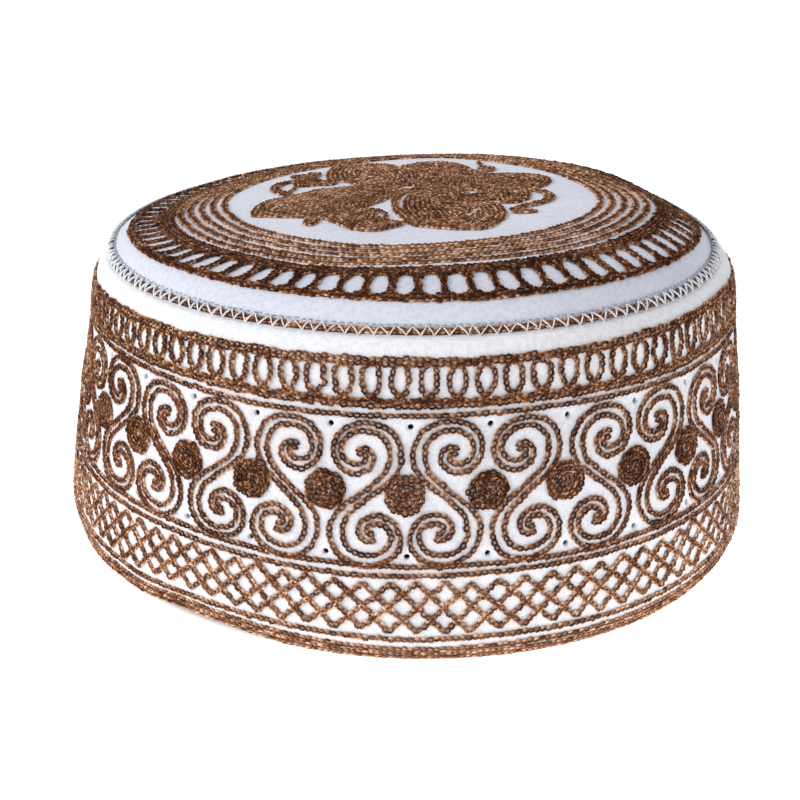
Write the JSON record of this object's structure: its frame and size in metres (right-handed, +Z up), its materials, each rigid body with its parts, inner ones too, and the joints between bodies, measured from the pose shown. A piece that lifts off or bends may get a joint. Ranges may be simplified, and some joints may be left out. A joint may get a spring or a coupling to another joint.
{
  "type": "prayer cap",
  "caption": "Round brimless cloth prayer cap: flared side band, low domed crown and a corded seam between them, chain-stitched all over.",
  "frame": {"origin": "middle of the rim, on the plane that the cap rests on", "axes": "+Z up through the crown, -Y towards the viewer of the picture, +X to the picture's right"},
  "size_m": [0.1894, 0.1894, 0.0854],
  "materials": {
    "white_cloth": "fine plain-woven cotton, slightly cool white, matte",
    "brown_thread": "twisted embroidery thread, mid brown with a soft sheen",
    "white_thread": "fine sewing thread, white, matte"
  },
  "bodies": {
    "root": {"side_wall": "white_cloth", "crown": "white_cloth", "seam_cord": "brown_thread"}
  },
  "joints": []
}
